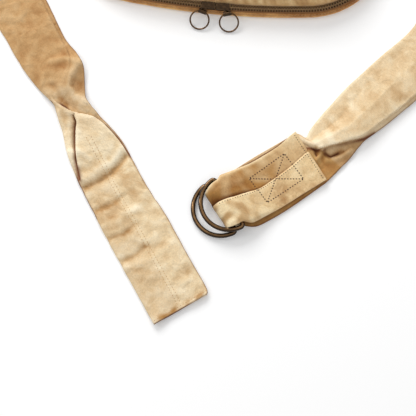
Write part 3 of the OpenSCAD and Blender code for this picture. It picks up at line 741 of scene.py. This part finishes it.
tail_points, tail_long, tail_dense = sweep_strap(tail_rows)
tail_count = len(tail_dense)
tail_points = wrinkle(tail_points, [
    # soft hollows and ridges across the tail
    ([(-114, -299), (-100, -290), (-88, -281), (-75, -262)], -2.4, 2.6, 4.6, 1.5),
    ([(-116, -291), (-102, -282), (-88, -270), (-80, -256)], 1.5, 5.0, 4.0),
    ([(-132, -262), (-122, -262), (-110, -268)], 1.0, 3.0, 3.0),
    ([(-98, -320), (-82, -312), (-74, -303)], -1.6, 2.6, 4.6, 1.4),
    ([(-92, -336), (-78, -330), (-60, -314)], 1.0, 4.0, 5.0),
    ([(-84, -348), (-68, -341), (-58, -330)], -1.6, 2.6, 4.4, 1.4),
    ([(-70, -371), (-54, -361), (-46, -352)], -1.8, 2.6, 4.4, 1.4),
    ([(-62, -376), (-48, -370)], 0.9, 4.0, 4.0),
    ([(-36, -352), (-24, -342)], -0.7, 5.0, 5.0),
    ([(-24, -372), (-8, -366)], 0.6, 5.0, 5.0),
    # the loose corner of the hem stands up a little
    ([(-34, -432), (-26, -424)], 2.2, 7.0, 7.0), ([(12, -404), (24, -394)], 1.6, 7.0, 7.0),
    # the ridge above the turn, steep on the side that faces the open table
    ([(-128, -164), (-134, -173), (-140, -186), (-140.2, -196), (-134, -203.5), (-121, -210)],
     7.4, 7.5, 13.0, 1.15),
    ([(-160, -170), (-148, -167), (-137, -167)], 1.5, 3.0, 4.0),
    ([(-156, -196), (-149, -206), (-141, -214)], -2.2, 4.0, 5.0),
    ([(-132, -209), (-122, -216), (-112, -220)], 1.4, 5.0, 4.0)])
loose = np.clip((tail_count - 2 - np.arange(len(tail_points)) // ACROSS) / 8, 0, 1) * 1.25
tail_points = crumple(tail_points, loose, 2.0)

# the dark tone stands for deeper dye and painted shade
strap_canvas = waxed_canvas("strap_canvas", colour(254, 240, 210), colour(233, 207, 165), colour(198, 156, 104),
                            follows="UV", patch=24, seed=0.9, wear_and_painted_light=True, dark=colour(200, 166, 120))
tail_strap = lay_cloth("tail_strap_canvas", tail_points, strap_canvas, 1.8, tail_long)
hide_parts("strap_tail")


def painted_fold_shade(piece, points, lines):
    """Notes painted shade deep in a fold: (line, reach, only below this height).

    The edge that lies in its own shade gets painted shade too.
    """
    column = np.arange(len(points)) % ACROSS
    amount = np.where(column >= ACROSS - 2, 0.55, 0.0)
    for line, reach, under in lines:
        gap, _ = near_line(points[:, :2], line)
        amount = np.maximum(amount, np.exp(-(gap / reach) ** 2) * np.clip((under - points[:, 2]) / 1.2, 0, 1))
    note(piece, "painted_fold_shade", amount)


# painted shade in the open valley, along the hem's edge and in the creases
painted_fold_shade(tail_strap, tail_points, [
    ([(-131, -224.5), (-128.6, -229), (-129, -237), (-127.8, -249.7), (-124.6, -269.4), (-118, -290)],
     2.6, 5.4),
    ([(-29.4, -430.2), (-5, -412.6), (19.4, -396.2)], 0.8, 9.0),
    ([(-121, -287), (-115.7, -298.8), (-105.4, -315), (-97, -328)], 0.9, 9.0),
    ([(-128, -224.4), (-120, -223.8), (-113, -223.9), (-107, -226.4), (-97, -232.8), (-84.6, -243.6),
      (-75.3, -254.7), (-70, -261)], 1.2, 5.2),
    ([(-155, -211), (-145.4, -214.4), (-136.4, -219.6), (-131, -223)], 1.6, 4.9)])
row_of, across_of = np.divmod(np.arange(len(tail_points)), ACROSS)
# darker toward the bag, and painted shade on the facet under the ridge that faces away from the lamp
near_bag = np.clip((tail_count * 0.60 - row_of) / (tail_count * 0.16), 0, 1)
ridge_facet_shade = np.exp(-((tail_points[:, 0] + 127) / 9) ** 2 - ((tail_points[:, 1] + 190) / 18) ** 2)
# one half of the sewn strap was cut from deeper cloth, and wax gathers in the puckered hem
clouds = np.array([wander(x, y, 0.12, 41.0) for x, y, _ in tail_points])
deeper_half = np.clip((0.5 - across_of / ACROSS) * 14, 0, 1)
deeper_half *= np.clip((row_of / tail_count - 0.62) / 0.08, 0, 1)
from_end = (tail_count - 1 - row_of) * ROW_STEP
hem = np.exp(-((from_end - 3.0) / 3.2) ** 2) * np.clip(0.4 + 2.2 * clouds, 0, 1)
tail_dark = near_bag * 0.8 + ridge_facet_shade * 0.15 + deeper_half * 0.2 + hem * 0.9
note(tail_strap, "dye_and_painted_shade", np.clip(tail_dark, 0, 1))


def sew_row(points, share, first, last, spacing, rise):
    """Places for stitches between two rows of a strap's points, at a share of its flat width."""
    grid = points.reshape(-1, ACROSS, 3)
    k = share * (ACROSS - 1)
    k0, part = int(k), k - int(k)
    line = grid[:, k0] * (1 - part) + grid[:, k0 + 1] * part
    beside = grid[:, k0 + 1] - grid[:, k0 - 1]
    step = np.concatenate([[0], np.cumsum(np.linalg.norm(np.diff(line, axis=0), axis=1))])
    begin, end = np.interp([first, last], np.arange(len(line)), step)
    places = []
    for d in np.arange(begin, end, spacing):
        i = int(np.clip(np.searchsorted(step, d) - 1, 0, len(line) - 2))
        t = (d - step[i]) / max(step[i + 1] - step[i], 1e-6)
        run = Vector(line[i + 1] - line[i]).normalized()
        up = run.cross(Vector(beside[i])).normalized()
        if up.z < 0:
            up = -up
        spot = Vector(line[i] * (1 - t) + line[i + 1] * t) + up * rise
        places.append((spot, run, up))
    return places


pale_thread = sewing_thread("pale_thread", colour(214, 164, 104), colour(172, 122, 70))
rows_down = []
for share in (0.47, 0.53):
    rows_down += sew_row(tail_points, share, tail_count * 0.60, tail_count - 4, 3.1, 0.9)
end_outer, end_inner = np.array([-28.4, -429.6]), np.array([22.1, -392.8])
end_run = end_inner - end_outer
hem_in = np.array([-0.5635, 0.826]) * 3.4
hem_stitches = 19
hem_row = [(end_outer + end_run * ((k + 0.6) / (hem_stitches + 0.2)) + hem_in, (*end_run, 0))
           for k in range(hem_stitches)]
rows_down += laid_on([tail_strap], hem_row, 0.9)
stitches("tail_strap_stitching", rows_down, pale_thread, long=2.0, wide=0.62, high=0.42)

# ---- Ring strap ----
# The same strap on the bag's right end. It runs under itself, round the bars of
# two D-rings and back on top as a flap that is sewn down with a crossed box.
ring_heading = math.radians(217)
ring_at = np.array([25.5, -306])
to_bow = np.array([math.cos(ring_heading), math.sin(ring_heading)])
to_side = np.array([math.sin(ring_heading), -math.cos(ring_heading)])


def at_rings(back, upper, lower):
    """The strap's two edges at a distance out from the lower ring's bar."""
    middle_at = ring_at + to_bow * back
    return tuple(middle_at + to_side * upper) + tuple(middle_at + to_side * lower)


ring_rows = [
    (168, -43, 168, 19, 20, 0, 42, 0, 4.2, 4.2, 4.2, 4.2, 0),
    (183, -42, 183, 18, 20, 1, 42, 1, 4.0, 4.4, 4.0, 3.6, 0),
    (196, -41.5, 222, 1.5, 8, 1, 24, 4, 3.0, 4.6, 1.8, 1.2, 0.5),
    (212, -53.6, 252, -30.5, 6, 1, 36, 5, 3.2, 5.2, 1.6, 1.2, 0.5),
    (214, -70, 264, -74, 8, 0.2, 42, 4, 3.0, 5.0, 1.6, 1.2, 0.1),
    (201, -101, 251, -127, 14, 0, 50, 2, 2.6, 5.0, 1.8, 1.1, 0),
    (173, -131.4, 217, -168, 18, 0, 53, 2, 2.4, 5.6, 2.4, 1.1, 0),
    (155, -152, 198, -188, 20, 0, 52, 3, 2.4, 6.4, 3.0, 1.1, 0),
    (141, -168, 181, -205, 22, 0, 50, 5, 2.6, 7.4, 4.4, 1.1, 0),
    (126.6, -187.8, 163.5, -220.5, 22, 0, 45.6, 6, 3.0, 9.0, 6.0, 1.1, 0),
    (120, -197, 158, -228, 20, 0, 41.0, 6.5, 3.2, 9.8, 6.4, 1.1, 0),
    (113.4, -207.1, 153, -236, 17, 0, 34.6, 6.5, 3.4, 10.0, 6.6, 1.2, 0),
    (108, -216, 148, -244, 13, 0, 27.2, 6, 3.4, 9.6, 6.4, 1.2, 0),
    (103.8, -224.9, 141.5, -252, 8, 0, 18.6, 5, 3.0, 8.0, 5.6, 1.3, 0),
    at_rings(-106, 26.5, -31.5) + (4, 0, 12, 3, 1.6, 4.0, 3.0, 1.2, 0),
    at_rings(-97, 27.5, -32.5) + (1, 0, 8, 1, 1.1, 1.2, 1.2, 1.1, 0),
    at_rings(-60, 28, -35.2) + (1, 0, 8, 0.5, 1.1, 1.1, 1.1, 1.1, 0),
    at_rings(-35, 27.4, -35.2) + (1, 0, 8, 0.5, 1.1, 1.1, 1.1, 1.1, 0),
    at_rings(-20, 27.2, -33.4) + (1, 0, 8, 0.5, 1.1, 1.1, 1.1, 1.1, 0),
    at_rings(-9.1, 23, -25.5) + (1, 0, 8, 0.5, 1.1, 1.1, 1.1, 1.1, 0)]
run_points, run_long, run_dense = sweep_strap(ring_rows)
run_count = len(run_dense)
run_points = wrinkle(run_points, [
    # a V-shaped crease and a hollow in the part that is folded under
    ([(108, -238), (116.5, -247), (120, -241), (120, -236)], 3.2, 2.0, 2.4, 1.2),
    ([(114, -236), (116, -241)], -3.0, 2.0, 2.0, 1.5),
    ([(123, -238), (130, -242), (140, -236)], -4.2, 2.4, 4.5, 1.4),
    ([(127, -246), (138, -243), (150, -234)], 2.4, 3.0, 3.0, 1.3),
    ([(121, -244), (126, -250), (133, -254)], -2.4, 2.6, 3.0, 1.4),
    ([(110, -247), (120, -256)], -2.0, 2.5, 2.5, 1.4),
    # slack in the broad face
    ([(124, -206), (130, -214), (134, -224)], -1.2, 4.0, 5.0),
    ([(146, -178), (150, -192), (158, -204)], 1.0, 6.0, 6.0),
    ([(118, -212), (128, -204), (136, -194)], 0.7, 5.0, 5.0)])
row_of = np.arange(len(run_points)) // ACROSS
flap_from = 0.735  # share of the run where the flap's end lies
under_flap = row_of > run_count * flap_from
run_points = crumple(run_points, np.where(under_flap, 0.1, 0.9), 12.0)
ring_strap = lay_cloth("ring_strap_canvas", run_points, strap_canvas, 1.8, run_long)
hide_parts("strap_ring_side")
# painted shade along the crease, in the V crease and hollow, and in the gaps between layers at the flap's upper
# edge
painted_fold_shade(ring_strap, run_points, [
    ([(100, -238), (105.6, -236.2), (117.7, -237), (133.4, -231), (147.7, -225.4), (161, -220.6), (172, -213)],
     1.8, 6.6),
    ([(112, -237), (116, -243)], 1.0, 4.0), ([(124, -239), (130, -242), (137, -238)], 1.8, 4.0),
    ([at_rings(*place, 0)[:2] for place in ((-30, 26.5), (-42, 25.5), (-55, 24.8), (-80, 25.0), (-97, 27.8))],
     0.9, 9.0)])
# painted shade on the part folded under the crease and on the strap under the flap and its low side band;
# darker toward the bag
crease_x = (100, 105.6, 117.7, 133.4, 147.7, 163, 182, 200)
crease_y = (-238, -235.3, -236.1, -230, -224.4, -219, -203, -186)
below_crease = run_points[:, 1] < np.interp(run_points[:, 0], crease_x, crease_y)
folded_under = below_crease & (run_points[:, 0] > 95)
near_bag = np.clip((run_count * 0.40 - row_of) / (run_count * 0.2), 0, 1)
fade_out = np.clip((200 - run_points[:, 0]) / 45, 0, 1)
low_side = under_flap * np.clip(-8 - (run_points[:, :2] - ring_at) @ to_side, 0, 1)
run_dark = 0.12 + near_bag * 0.6 + folded_under * 0.62 * fade_out + under_flap * 0.25 + low_side * 0.9
note(ring_strap, "dye_and_painted_shade", np.clip(run_dark, 0, 1))

# ---- Loop and flap ----
# The strap's end, turned up round both bars and laid back along itself. Its
# underside is now on top, so one folded half laps over the other down the middle.

# back from the lower bar; height; upper edge, lap and lower edge across; how far
# the upper half dips at the lap; the open gap; ripples; how far the edges droop
loop_rows = [
    (-9.1, 1.1, 23, 4, -24.5, 0, 0, 0.1, 0), (-1, 1.4, 21.5, 4, -22.5, 0, 0, 0.3, 0),
    (4.0, 3.0, 20, 4, -21.5, 0.3, 0.5, 0.6, 0),
    (6.0, 7.4, 19.6, 4, -21.5, 1.4, 4, 0.8, 0), (4.6, 12.0, 20.6, 4.1, -22.0, 3.0, 7, 0.8, 0.4),
    (0, 14.6, 22.8, 4.1, -23.6, 3.4, 6.5, 0.7, 1.0), (-5, 15.6, 24.2, 3.4, -24.4, 2.2, 4.8, 0.5, 1.2),
    (-10.5, 15.6, 24.7, 2.4, -24.9, 2.0, 3.6, 0.4, 1.2), (-15.5, 14.4, 27.4, 1.2, -28.8, 2.6, 3.4, 0.5, 2.6),
    (-20.5, 12.8, 27.2, 0.4, -30.2, 3.0, 3.0, 0.6, 3.2), (-31.1, 9.6, 25.8, -1.4, -30.4, 2.6, 2.0, 0.5, 2.6),
    (-42.1, 6.8, 24.6, -3.4, -30.8, 1.7, 0.8, 0.3, 1.4), (-54.5, 5.2, 23.8, -2.8, -31.0, 1.1, 0.3, 0.2, 0.6),
    (-80, 4.7, 24.2, -0.2, -30.4, 0.9, 0.1, 0.15, 0.4),
    (-98, 4.6, 27.4, 3.2, -30.2, 0.8, 0.1, 0.1, 0.2), (-105.6, 4.5, 28.4, 4.4, -30.0, 0.7, 0.1, 0.1, 0.1)]
loop_dense = smooth_rows(loop_rows, 16)
loop_row_count = 112
loop_dense, loop_long = evenly(loop_dense, loop_row_count, loop_dense[:, :2])
loop_points = []
for back_at, high, upper, lap, lower, dip, gap, full, droop in loop_dense:
    under = 1.5 + 2.5 * min(1.0, dip)
    low, lapped = high - dip, lap - under
    half_low = low - 0.5 * gap
    half_up = (half_low + high) / 2
    section = rounded(np.array([
        (upper, high - droop), (upper - 2.5, high - droop * 0.35),
        (upper - (upper - lap) * 0.45, high - dip * 0.35),
        (lap + gap + 0.8, low + 0.1 * dip), (lap + 0.6 * gap, low - 0.45 * gap), (lapped, half_low),
        (lapped, half_up), (lap - 0.4, half_up + 0.2), (lap, high - 0.2), (lap - 1.2, high + 0.2),
        (lap - (lap - lower) * 0.5, high + 0.1), (lower + 3.0, high - droop * 0.3), (lower, high - droop)]))
    for x, z in section:
        ripple = full * (0.9 * math.cos(x * 0.29 + 0.6) + 0.5 * math.sin(x * 0.55))
        spot = ring_at + to_bow * (back_at + 0.3 * ripple) + to_side * x
        rumple = wander(*spot, 0.06, 20.0) * 0.7 + wander(*spot, 0.13, 23.0) * 0.3
        loop_points.append((spot[0], spot[1], max(1.0, z + 0.35 * ripple + rumple * min(1.0, full + 0.35))))
loop_points = np.array(loop_points)
# nowhere does the flap sink into the strap that it is sewn to
strap_top = 2.95
on_strap = np.repeat(loop_dense[:, 1] > 3.5, ACROSS)
loop_points[on_strap, 2] = np.maximum(loop_points[on_strap, 2], strap_top)
# the dark tone stands for stains and painted shade
strap_underside = waxed_canvas("strap_underside", colour(252, 234, 194), colour(234, 204, 155),
                               colour(186, 140, 88), follows="UV", patch=30, seed=2.3, wear_and_painted_light=True,
                               dark=colour(188, 153, 106))
flap = lay_cloth("ring_strap_flap", loop_points, strap_underside, 1.7, loop_long)
lateral = (loop_points[:, :2] - ring_at) @ to_side
past_lap = lateral - np.repeat(loop_dense[:, 3], ACROSS)
patchy = np.array([wander(x, y, 0.09, 31.0) for x, y, _ in loop_points])
edge_gap = np.repeat(loop_dense[:, 2], ACROSS) - lateral
# painted shade on the upper half, which slopes away from the lamp to the lap, lighter by its upper edge; stains
# in clouds on the lower half by the rings
upper_half_shade = (past_lap > 0.3) * (1.0 - 0.012 * np.maximum(past_lap, 0) + 0.5 * patchy)
upper_half_shade *= 1 - 0.9 * np.exp(-(edge_gap / 2.0) ** 2)
to_end = np.repeat(np.interp(-loop_dense[:, 0], [50, 92], [1.0, 0.3]), ACROSS)
by_rings = np.repeat(np.interp(-loop_dense[:, 0], [0, 18, 40], [1.0, 0.8, 0.2]), ACROSS)
lower_clouds = (past_lap <= 0.3) * np.clip(0.3 + 2.0 * patchy, 0, 0.75) * by_rings
note(flap, "dye_and_painted_shade", np.clip(0.02 + upper_half_shade * to_end + lower_clouds, 0, 1.3))
# painted shade in the open gap under the lapped edge
open_gap = np.repeat(np.clip(loop_dense[:, 6] / 3.0, 0, 1), ACROSS)
deep_in = np.exp(-((past_lap - 0.2) / (1.3 + 2.6 * open_gap)) ** 2) * (0.45 + 0.5 * open_gap)
note(flap, "painted_fold_shade", np.where(past_lap > 0.1, deep_in, 0))
sewn_through = (flap, ring_strap)


def flap_seam(back_a, side_a, back_b, side_b, spacing=2.9):
    """Evenly spaced (place on the plan, direction along) between two points of the flap."""
    a = ring_at + to_bow * back_a + to_side * side_a
    b = ring_at + to_bow * back_b + to_side * side_b
    count = round(float(np.linalg.norm(b - a)) / spacing)
    for k in range(count):
        yield a + (b - a) * ((k + 0.5) / count), (*(b - a), 0)


brown_thread = sewing_thread("brown_thread", colour(88, 48, 20), colour(56, 28, 10))
corners = [(-83.6, 14.8), (-86.1, -17.7), (-41.8, -19.9), (-39.5, 10.9)]
box_rows = []
for a, b in ((0, 1), (1, 2), (2, 3), (3, 0), (0, 2), (1, 3)):
    box_rows += flap_seam(*corners[a], *corners[b])
stitches("flap_box_stitching", laid_on(sewn_through, box_rows, 0.82), brown_thread,
         long=1.9, wide=1.5, high=0.55)
edge_rows = list(flap_seam(-102.6, 26.5, -103.2, -28.0, 2.6))
lap_line = [(1.0, 2.8), (-12, 0.2), (-32.8, -3.4), (-42.8, -4.8), (-62.8, -3.9), (-83.4, -1.8), (-102, 2.2)]
for before, after in zip(lap_line, lap_line[1:]):
    edge_rows += flap_seam(*before, *after, 2.6)
stitches("flap_edge_stitching", laid_on(sewn_through, edge_rows, 0.82), brown_thread,
         long=1.6, wide=0.9, high=0.42)

# ---- D-rings ----
# Two round D-rings bent from thick wire and brazed at the bar, antique plated,
# with a painted highlight in brown on top. They lie over each other in the strap's loop.
# painted highlight along the tops of the wire
ring_metal = antique_metal("ring_metal", colour(46, 32, 21), colour(178, 136, 90),
                           rough=0.15, scale=60.0, top=0.9, grainy=0.02, highlight_from=0.8)
finish_nodes(ring_metal, "d_ring_lower", "d_ring_upper")
